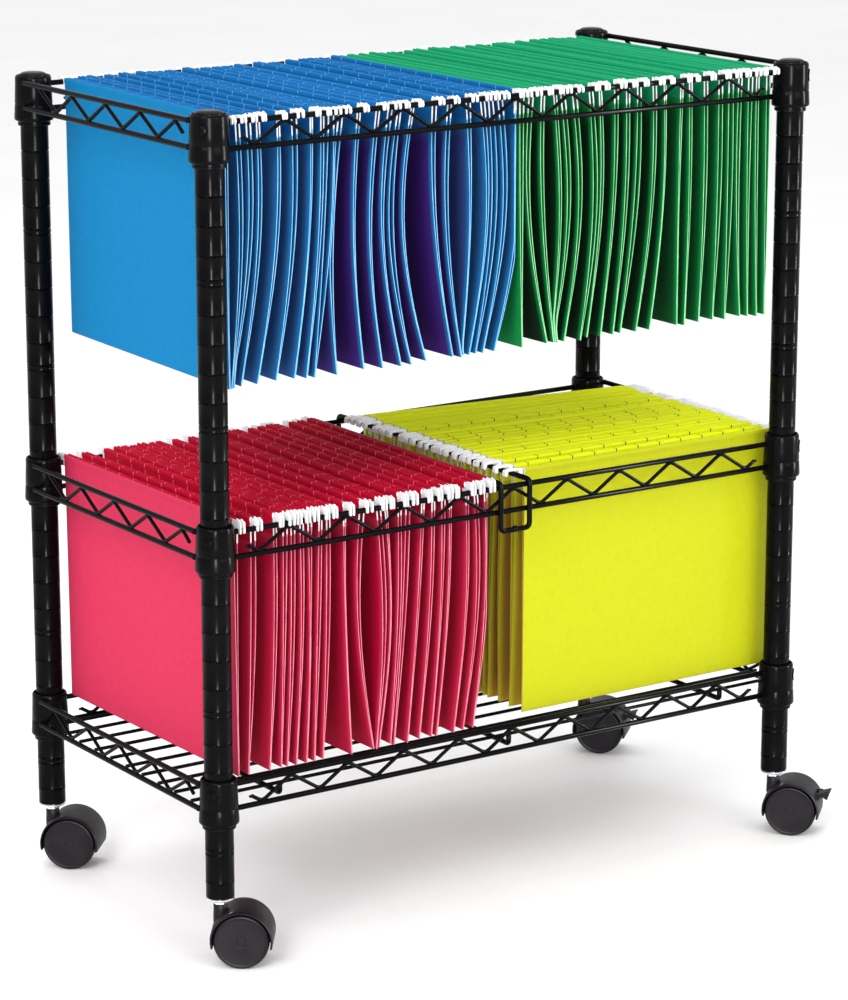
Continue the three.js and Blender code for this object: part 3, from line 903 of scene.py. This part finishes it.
# How a pack hangs. Each row of "bends" is (place along the stack from 0 to 1, lean of the folds,
# bow of the flaps' middles, both in mm to the right or back, and shade of the gaps from 0 to 1).
# "card_top" is how far the cards end below the top of the pack's box, "first_skew" how far the
# first folder's far end is turned forwards, both in mm, "fan" how much the pack closes up
# towards its right end, and "slit_share" the share of the folders that show their tab slits.
HANG = {
    "blue_folders": {
        "card_top": 2.6,
        "first_skew": 5.0,
        "fan": 0.0,
        "seed": 11,
        "slit_share": 1.0,
        "bends": (
            (0.00, 0, 0, 0.4),
            (0.06, -15, 9, 0.5),
            (0.14, -24, 9, 0.5),
            (0.19, -24, 8, 0.5),
            (0.25, -18, 6, 0.5),
            (0.35, -18, 4, 0.6),
            (0.40, -3, -10, 1.0),
            (0.46, 2, -6, 1.0),
            (0.52, 5, -12, 1.0),
            (0.58, 10, -13, 1.0),
            (0.66, 14, -18, 1.0),
            (0.72, 18, -6, 1.0),
            (0.78, 8, -12, 1.0),
            (0.83, -5, 8, 0.7),
            (0.88, -12, 12, 0.4),
            (0.93, -17, 12, 0.4),
            (1.00, -22, 11, 0.4),
        ),
    },
    "green_folders": {
        "card_top": 2.2,
        "first_skew": 0.0,
        "fan": 0.0,
        "seed": 23,
        "slit_share": 1.0,
        "bends": (
            (0.00, 17, -5, 1.0),
            (0.07, 18, -10, 1.0),
            (0.11, 12, -2, 1.0),
            (0.15, -3, 13, 1.0),
            (0.25, -6, 12, 1.0),
            (0.30, -10, 10, 1.0),
            (0.36, -12, 6, 1.0),
            (0.50, -17, 7, 1.0),
            (0.58, -13, 5, 0.9),
            (0.64, -2, 2, 0.8),
            (0.76, -2, 2, 0.6),
            (0.82, -4, 3, 0.6),
            (0.88, 5, -3, 0.5),
            (0.94, 4, 0, 0.5),
            (1.00, 0, 0, 0.4),
        ),
    },
    "red_folders": {
        "card_top": 1.6,
        "first_skew": -1.5,
        "fan": 0.0,
        "seed": 37,
        "slit_share": 1.0,
        "bends": (
            (0.00, 0, 0, 1.0),
            (0.10, -7, 2, 0.8),
            (0.40, -6, 2, 0.8),
            (0.46, 12, -3, 1.0),
            (0.51, 10, -9, 1.0),
            (0.57, -4, 11, 1.0),
            (0.70, -17, 0, 0.9),
            (0.80, -15, 3, 0.8),
            (0.90, -13, 6, 0.8),
            (1.00, -14, 8, 0.6),
        ),
    },
    "yellow_folders": {
        "card_top": 2.0,
        "first_skew": 0.0,
        "fan": 0.13,
        "seed": 53,
        "slit_share": 0.4,
        "bends": (
            (0.00, 0, -1, 0.6),
            (0.15, 6, 3, 1.0),
            (0.35, 3, 4, 1.0),
            (0.60, 5, -2, 1.0),
            (0.80, 2, 3, 1.0),
            (1.00, 0, 0, 0.6),
        ),
    },
}

FOLDER_DROP = 235.5 * MM  # from the card's top edge to its fold
FOLDER_HALF = {"yellow_folders": 145.5 * MM}
USUAL_HALF = 149 * MM
CARD_HALF = 0.33 * MM
BAND_HALF = 0.7 * MM
BEAD_HALF = 1.3 * MM
BEAD_DROP = 3.5  # the bead round the rod and the doubled band reach this many mm down
BAND_DROP = 22
# Rows down a flap in mm: close together over the bead and the band, wider over the bent part.
TOP_ROWS = (0, 1.5, BEAD_DROP, 5, 9, 14, 19, BAND_DROP, 23.5)
BENT_ROWS = (32, 44, 58, 73, 89, 105, 121, 137, 153, 169, 184, 198, 211, 222, 230, 234)
FLAP_ROWS = TOP_ROWS + BENT_ROWS
ROD_ROW, BAND_ROW = 1, 4  # rows at the middle of the rod and of the band
RIM_INSETS = (0, 2.5, 6, 20, 79)  # stations across a flap, in mm inwards from each side rim
# painted shade at each station, from none at the rims to full far inside the pack
RIM_SHADE = (0.0, 0.35, 0.95, 1.0, 1.0)
SHADE_FADE = 12  # mm below the band over which the painted shade comes in
PACK_EDGE = 1.4 * MM  # the outer flaps stay this far inside the pack's box

SLITS = 11
SLIT_SPACING = 25.4 * MM
# Marks of a slit: row, reach to both sides, half width, and from where to where down the flap.
SLIT_MARKS = (
    (ROD_ROW, BEAD_HALF + 0.05 * MM, 0.5 * MM, 0.1 * MM, 3.4 * MM),
    (BAND_ROW, BAND_HALF + 0.06 * MM, 0.4 * MM, 5 * MM, 10 * MM),
)

HOOK_HALF_THICKNESS = 0.42 * MM
DIVIDER_SLACK = 2.9  # mm more room on both sides in the hooks on the divider, which slides


def stations(half_width):
    """Places across a flap and the share of painted shade at each, from 0 to 1: none at the rims, full
    far inside the pack.
    """
    inset = np.array(RIM_INSETS) * MM
    left = -half_width + inset
    places = np.concatenate([left, [0.0], -left[::-1]])
    shade_ramp = np.concatenate([RIM_SHADE, [1.0], RIM_SHADE[::-1]])
    return places, shade_ramp


def spread_tops(count, length, random):
    """Places of the two hooks of each folder along the rails, in loose clusters."""
    within = random.uniform(1.8, 3.6, count)
    between = random.uniform(3.5, 7.0, count - 1)
    apart = random.random(count - 1) < 0.35
    between[apart] += random.uniform(4, 9, apart.sum())
    gaps = np.zeros(2 * count - 1)
    gaps[0::2] = within
    gaps[1::2] = between
    places = np.concatenate([[0.0], np.cumsum(gaps)])
    return (places / places[-1] * length).reshape(count, 2)


def keep_apart(places, least, low, high):
    """Moves neighbours so that each stays at least that far past the one before it."""
    placed = places.copy()
    count = len(placed)
    for index in range(1, count):
        placed[index] = np.maximum(placed[index], placed[index - 1] + least[index])
    placed[-1] = np.minimum(placed[-1], high)
    for index in range(count - 2, -1, -1):
        placed[index] = np.minimum(placed[index], placed[index + 1] - least[index + 1])
    placed[0] = np.maximum(placed[0], low)
    for index in range(1, count):
        placed[index] = np.maximum(placed[index], placed[index - 1] + least[index])
    return placed


def flap_places(spec, length, across):
    """Centre lines of all flaps: distance along the stack for each flap, row and width station."""
    random = np.random.default_rng(spec["seed"])
    count = FOLDERS
    tops = spread_tops(count, length - 2 * PACK_EDGE, random) + PACK_EDGE
    share = tops.mean(1) / length
    marks, leans, bows, shades = np.array(spec["bends"]).T
    lean = np.interp(share, marks, leans) * MM + random.normal(0, 1.0, count) * MM
    bow = np.interp(share, marks, bows) * MM + random.normal(0, 0.8, count) * MM
    shade = np.interp(share, marks, shades)
    skew = random.normal(0, 0.9, count) * MM
    for values in (lean, bow, skew):
        values[0] *= 0.1
    down = np.array(FLAP_ROWS) / FLAP_ROWS[-1]
    side = across / across[-1]
    fold = tops.mean(1) + lean
    places = np.zeros((2 * count, len(down), len(across)))
    for flap in range(2):
        belly = random.normal(0, 0.8, count) * MM + (1 if flap else -1) * 0.5 * MM
        belly[0] *= 0.2
        for index in range(count):
            top = tops[index, flap]
            line = (fold[index] - top) * down**1.25
            line = line + (bow[index] + belly[index]) * np.sin(math.pi * down)
            eased = 1 - 0.35 * (side + 1) / 2
            swing = line[:, None] * eased[None, :] + skew[index] * side[None, :] * down[:, None]
            slant = spec["first_skew"] * MM * math.exp(-index / 2)
            place = top + abs(slant) + slant * side
            place = place * (1 - spec["fan"] * (side + 1) / 2) + random.normal(0, 0.3) * MM * side
            places[2 * index + flap] = place[None, :] + swing
    half = half_thickness()
    least = np.zeros((2 * count, len(down), 1))
    least[:] = (2 * half)[None, :, None] + 0.12 * MM
    least[0::2] += 0.5 * MM
    return keep_apart(places, least, PACK_EDGE, length - PACK_EDGE), shade


def half_thickness():
    """Half the thickness of a flap at each row."""
    rows = np.array(FLAP_ROWS)
    half = np.full(len(rows), CARD_HALF)
    half[rows <= BAND_DROP] = BAND_HALF
    half[rows <= BEAD_DROP] = BEAD_HALF
    half[0] = BAND_HALF
    return half


def folder_ring(pair, drop, half):
    """Points round the section of one folder as (stack places at all stations, way down).
    `pair` holds the centre lines of its two flaps."""
    rows = len(FLAP_ROWS)
    down = np.array(FLAP_ROWS) * MM
    down = down / down[-1] * (drop - 1.2 * MM)
    ring = []
    for row in range(rows):
        ring.append((pair[0, row] - half[row], down[row]))
    middle = (pair[0, -1] + pair[1, -1]) / 2
    ring.append((middle - 0.5 * MM, drop - 0.25 * MM))
    ring.append((middle + 0.5 * MM, drop - 0.25 * MM))
    for row in range(rows - 1, -1, -1):
        ring.append((pair[1, row] + half[row], down[row]))
    for row in range(rows):
        ring.append((pair[1, row] - half[row], down[row]))
    ring.append((middle + 0.15 * MM, drop - 1.3 * MM))
    ring.append((middle - 0.15 * MM, drop - 1.3 * MM))
    for row in range(rows - 1, -1, -1):
        ring.append((pair[0, row] + half[row], down[row]))
    return ring


class PackSpace:
    """Where a pack's folders hang: in a row along X on the long rails, or, crosswise, in a row
    along Y on the divider and the right side wire. `rails` holds (reach across, top, slack) of
    the rail at the low end and at the high end."""

    def __init__(self, node):
        low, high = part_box(node)
        self.crosswise = node == "yellow_folders"
        self.top = high.z
        if self.crosswise:
            divider_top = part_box("divider")[1]
            left_rail = divider_top.x - RAIL_RADIUS
            right_rail = POSTS["front_right"].x + SIDE_RAIL_OFFSET
            self.start, self.length = low.y, high.y - low.y
            self.centre = (left_rail + right_rail) / 2
            reach = (right_rail - left_rail) / 2
            side_top = RIM["middle"] - SIDE_RAIL_DROP + RAIL_RADIUS
            self.rails = ((reach, divider_top.z, DIVIDER_SLACK), (reach, side_top, 0))
        else:
            level = "top" if high.z > RIM["middle"] + 100 * MM else "middle"
            self.start, self.length = low.x, high.x - low.x
            self.centre = POST_CENTRE.y
            reach = POSTS["back_left"].y - POST_CENTRE.y
            rail = (reach, RIM[level] - FRONT_RAIL_DROP + RAIL_RADIUS, 0)
            self.rails = (rail, rail)

    def point(self, stack, width, z):
        if self.crosswise:
            return (self.centre + width, self.start + stack, z)
        return (self.start + stack, self.centre + width, z)


def card_marks(down, station_shade, shade, outside):
    """Marks of a card at a way down: the band, whose colour is partly painted light and shade on the
    tops, and the painted shade far inside the pack; the pack's outermost side has neither.
    """
    if outside:
        return 0.0, 0.0
    below = min(1.0, max(0.0, (down / MM - BAND_DROP) / SHADE_FADE))
    # in the band the card takes the band colour, with its painted light and shade on the tops
    band = 1.0 if down < BAND_DROP * MM else 0.0
    return band, shade * station_shade * below


def add_folder(cards, marks, space, ring, stations_across, edge_top, shade, first):
    """One folder's card: a closed skin round its two flaps, with cut edges at both sides."""
    across, shade_ramp = stations_across
    count = len(ring)
    verts = []
    for station, (width, station_shade) in enumerate(zip(across, shade_ramp)):
        for number, (line, down) in enumerate(ring):
            verts.append(space.point(line[station], width, edge_top - down))
            outside = first and number < len(FLAP_ROWS)
            marks.append(card_marks(down, station_shade, shade, outside))
    faces = grid_faces(len(across), count, wrap_columns=True)
    kinds = [0] * len(faces)
    end = (len(across) - 1) * count
    for outer in range(count // 2 - 1):
        inner = count - 1 - outer
        faces.append((inner, inner - 1, outer + 1, outer))
        faces.append((end + outer, end + outer + 1, end + inner - 1, end + inner))
        in_band = min(ring[outer][1], ring[inner][1]) < BAND_DROP * MM
        kinds += [2, 2] if in_band else [1, 1]
    cards.add(verts, flipped(faces) if space.crosswise else faces, kinds)


def make_pack(node, card_material, edge_material, slit_material):
    """A pack in three pieces: cards (with white rod ends in the band), tab slits and hooks."""
    spec = HANG[node]
    space = PackSpace(node)
    random = np.random.default_rng(spec["seed"] + 1)
    stations_across = stations(FOLDER_HALF.get(node, USUAL_HALF))
    across = stations_across[0]
    places, shade = flap_places(spec, space.length, across)
    half = half_thickness()
    cards, slits, hooks = Shape(), Shape(), Shape()
    marks = []
    for index in range(FOLDERS):
        pair = places[2 * index : 2 * index + 2]
        edge_top = space.top - spec["card_top"] * MM + random.uniform(-0.8, 0.8) * MM
        ring = folder_ring(pair, FOLDER_DROP + random.uniform(-1.2, 0.6) * MM, half)
        first, last = index == 0, index == FOLDERS - 1
        add_folder(cards, marks, space, ring, stations_across, edge_top, shade[index], first)
        if random.random() < spec["slit_share"]:
            shown = pair[1:] if first else pair[:1] if last else pair
            add_slits(slits, space, shown, across, edge_top, random)
        for line in pair:
            tilt = random.uniform(-1, 1, 3)
            add_hooks(hooks, space, line, edge_top + 0.5 * tilt[0] * MM, tilt)

    piece = cards.build(f"{node}_cards", [card_material, edge_material, HOOK], 40)
    # the second attribute sets how much painted shade each point gets
    for name, values in zip(("Band", "Depth"), np.array(marks, np.float32).T):
        attribute = piece.data.attributes.new(name, "FLOAT", "POINT")
        attribute.data.foreach_set("value", np.ascontiguousarray(values))
    finish_piece(piece, node, node)
    # slit marks: dark ones are painted shade of the open slits
    piece = slits.build(f"{node}_slits", [slit_material], 30)
    finish_piece(piece, node, node)
    piece = hooks.build(f"{node}_hooks", [HOOK], 30)
    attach(piece, node)
    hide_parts(node)


def add_block(shape, space, stack, reach, width, half_width, low, high):
    """A small upright block round a flap's centre line."""
    verts = []
    for side in (-reach, reach):
        for across in (-half_width, half_width):
            for z in (low, high):
                verts.append(space.point(stack + side, width + across, z))
    faces = [(0, 1, 3, 2), (4, 6, 7, 5), (0, 4, 5, 1), (2, 3, 7, 6), (0, 2, 6, 4), (1, 5, 7, 3)]
    shape.add(verts, faces)


def add_slits(shape, space, lines, across, top, random):
    """Tab slits: narrow marks that run over the bead and down the doubled band; where they are dark, in
    the yellow and green packs, they are painted shade of the open slits.
    """
    offset = random.uniform(-6, 6) * MM
    for line in lines:
        for number in range(SLITS):
            width = (number - (SLITS - 1) / 2) * SLIT_SPACING + offset
            for row, reach, half_width, start, end in SLIT_MARKS:
                stack = np.interp(width, across, line[row])
                add_block(shape, space, stack, reach, width, half_width, top - end, top - start)


def hook_outline(rail_top, arm_top, bump, slack):
    """Corners of a hook plate: outwards from the middle of its rail in mm, and height.
    `slack` widens the notch to both sides."""
    notch = rail_top + 0.2 * MM
    arm = max(arm_top, notch + 1.6 * MM)
    return (
        (-10.5, notch - 4.6 * MM),
        (-3.7 - slack, notch - 4.8 * MM),
        (-3.2 - slack, notch),
        (2.9 + slack, notch),
        (3.1 + slack, notch - 3.4 * MM),
        (4.0 + slack, notch - 4.6 * MM),
        (6.0 + slack, notch - 4.2 * MM),
        (6.8 + slack, notch - 2.8 * MM),
        (6.5 + slack, arm - 1.2 * MM),
        (5.4 + slack, arm - 0.2 * MM),
        (3.4 + slack, arm),
        (2.2, arm + bump),
        (0.2, arm + bump),
        (-0.6, arm - 0.2 * MM),
        (-10.5, arm - 0.4 * MM),
    )


def add_hooks(shape, space, line, arm_top, tilt):
    """White-coated hook plates at both ends of a flap's rod, each dropped over its rail."""
    for side, station, rail in ((-1, 0, space.rails[0]), (1, -1, space.rails[1])):
        reach, rail_top, slack = rail
        lower = 0.8 * MM if side > 0 else 0
        outline = hook_outline(rail_top, arm_top - lower, MM - lower, slack)
        count = len(outline)
        stack = line[ROD_ROW, station]
        verts = []
        for layer in (-HOOK_HALF_THICKNESS, HOOK_HALF_THICKNESS):
            for out, z in outline:
                swing = tilt[1] * 0.05 * max(0, out) * MM
                width = side * (reach + (out + 0.15 * tilt[2]) * MM)
                verts.append(space.point(stack + layer + swing, width, z))
        faces = [tuple(range(count)), tuple(reversed(range(count, 2 * count)))]
        for index in range(count):
            beside = (index + 1) % count
            faces.append((beside, index, count + index, count + beside))
        # the outline is mirrored at the low end, so the faces are turned over at the other
        if side > 0:
            faces = flipped(faces)
        shape.add(verts, faces)


# Colours of each pack: lit card, doubled band with painted light and shade on the tops, and painted
# shade far inside; cut edge light and dark; slits, whose dark colour in the yellow and green is painted
# shade.
CARD_COLOURS = {
    "blue": (
        ((0.0015, 0.175, 0.4), (0.003, 0.125, 0.36), (0.035, 0.006, 0.13)),
        ((0.3, 0.62, 0.92), (0.05, 0.36, 0.8)),
        (0.06, 0.3, 0.62),
    ),
    "green": (
        ((0.001, 0.235, 0.05), (0.003, 0.29, 0.12), (0.0, 0.012, 0.003)),
        ((0.35, 0.78, 0.4), (0.05, 0.48, 0.12)),
        (0.02, 0.2, 0.09),
    ),
    "red": (
        ((0.58, 0.03, 0.086), (0.5, 0.001, 0.026), (0.4, 0.0, 0.03)),
        ((0.85, 0.3, 0.4), (0.68, 0.04, 0.12)),
        (0.75, 0.1, 0.15),
    ),
    "yellow": (
        ((0.47, 0.49, 0.004), (0.74, 0.8, 0.004), (0.36, 0.18, 0.02)),
        ((0.62, 0.42, 0.1), (0.36, 0.2, 0.03)),
        (0.03, 0.035, 0.01),
    ),
}


def make_folders():
    for name, (faces, edges, slit) in CARD_COLOURS.items():
        material = card(f"{name}_card_face", *faces)
        edge = card_edge(f"{name}_card_edge", *edges)
        make_pack(f"{name}_folders", material, edge, slit_shadow(f"{name}_card_slit", slit))


# ---------------------------------------------------------------- studio

CAMERA_FROM_POSTS = Vector((-1.818, -2.689, 1.1573))
CAMERA_YAW = math.radians(34.165)
CAMERA_PITCH = math.radians(14.045)
CAMERA_LENS = 127.0


def make_camera():
    data = bpy.data.cameras.new("camera")
    data.lens = CAMERA_LENS
    data.sensor_width = 36
    camera = bpy.data.objects.new("camera", data)
    camera.location = POST_CENTRE + CAMERA_FROM_POSTS
    camera.rotation_euler = (math.pi / 2 - CAMERA_PITCH, 0, -CAMERA_YAW)
    bpy.context.scene.collection.objects.link(camera)
    bpy.context.scene.camera = camera


def make_floor():
    size = 14
    rows = []
    for x in (-size, size):
        for y in (-size, size):
            rows.append((x, y, 0))
    mesh = bpy.data.meshes.new("floor")
    mesh.from_pydata(rows, [], [(0, 2, 3, 1)])
    mesh.materials.append(floor_paint())
    floor = bpy.data.objects.new("floor", mesh)
    bpy.context.scene.collection.objects.link(floor)


def area_light(name, place, target, size, power, diffuse=True):
    data = bpy.data.lights.new(name, "AREA")
    data.shape = "RECTANGLE"
    data.size, data.size_y = size
    data.energy = power
    light = bpy.data.objects.new(name, data)
    light.visible_diffuse = diffuse
    light.location = place
    light.rotation_euler = (Vector(target) - Vector(place)).to_track_quat("-Z", "Y").to_euler()
    bpy.context.scene.collection.objects.link(light)


def make_lights():
    middle = (0, 0, 0.4)
    area_light("key_left", (-2.6, -1.6, 2.3), middle, (1.5, 1.5), 70)
    area_light("strip_left", (-1.7, -2.7, 0.9), (-0.3, -0.15, 0.45), (0.26, 1.7), 150, False)
    area_light("strip_right", (2.4, -1.7, 0.9), (0.3, -0.15, 0.45), (0.26, 1.7), 110, False)
    area_light("front_fill", (0.6, -3.4, 1.6), middle, (2.2, 1.6), 45)
    area_light("top_soft", (0.2, 0.4, 3.0), middle, (2.4, 1.8), 30)
    world = bpy.data.worlds.new("studio")
    world.use_nodes = True
    background = world.node_tree.nodes["Background"]
    background.inputs["Color"].default_value = (1, 1, 1, 1)
    background.inputs["Strength"].default_value = 0.98
    bpy.context.scene.world = world
    bpy.context.scene.view_settings.view_transform = "Standard"


make_camera()
make_floor()
make_lights()
make_posts()
make_caps()
make_sleeves()
make_side_frames()
make_long_trusses()
make_shelf_grid()
make_divider()
make_casters()
make_folders()
